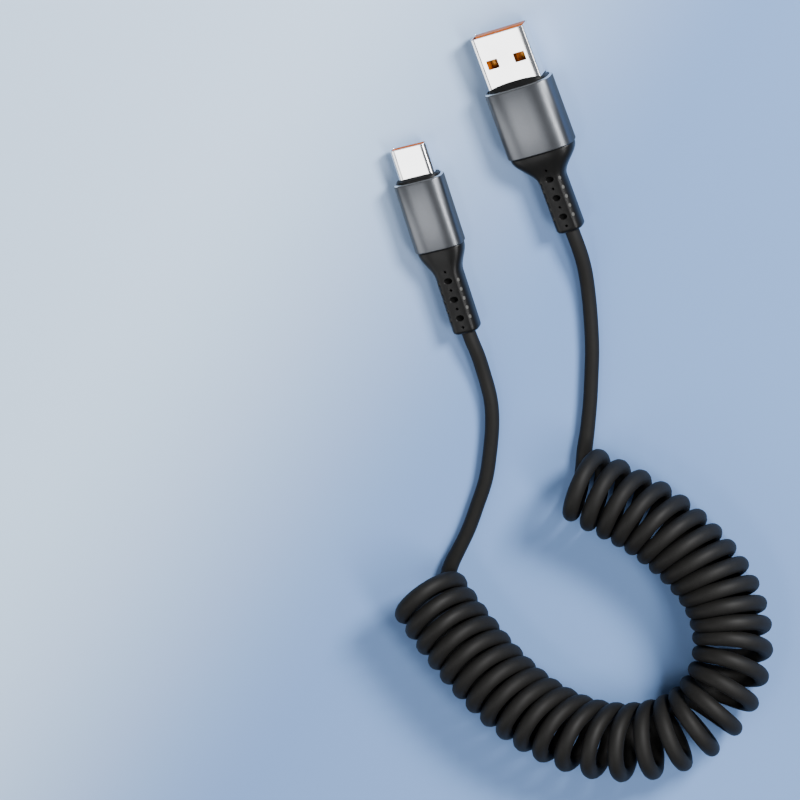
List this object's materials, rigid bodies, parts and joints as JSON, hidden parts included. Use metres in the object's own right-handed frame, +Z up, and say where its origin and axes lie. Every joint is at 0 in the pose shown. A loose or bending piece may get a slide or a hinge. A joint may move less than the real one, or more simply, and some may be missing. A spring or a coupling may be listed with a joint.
{
  "type": "coiled charging cable",
  "caption": "Curly black charging cable with a wide rectangular charger plug and a small oval phone plug, grey metal sleeves and black strain reliefs, laid in a U.",
  "frame": {"origin": "on the floor, at the middle of the box around the two plugs, without the cord", "axes": "+Z up; +Y the way the plugs' mouths roughly point, away from the curly stretch; +X to the right of it"},
  "size_m": [0.0853, 0.1677, 0.0173],
  "materials": {
    "plug_shell": "polished nickel plate",
    "orange_plastic": "moulded orange plastic, satin",
    "contacts": "gold plate",
    "holder": "black moulded plastic",
    "sleeve": "grey anodised, satin, with bright cut chamfers",
    "boot": "black moulded thermoplastic rubber, satin",
    "jacket": "soft matte black cord jacket"
  },
  "bodies": {
    "root": {"charger_plug_shell": "plug_shell", "charger_plug_tongue": "orange_plastic", "charger_plug_contact_1": "contacts", "charger_plug_contact_2": "contacts", "charger_plug_contact_3": "contacts", "charger_plug_contact_4": "contacts", "charger_plug_holder": "holder", "charger_plug_sleeve": "sleeve", "charger_plug_boot": "boot", "phone_plug_shell": "plug_shell", "phone_plug_insert": "orange_plastic", "phone_plug_holder": "holder", "phone_plug_sleeve": "sleeve", "phone_plug_boot": "boot", "charger_lead": "jacket", "phone_lead": "jacket", "coil": "jacket"}
  },
  "joints": []
}
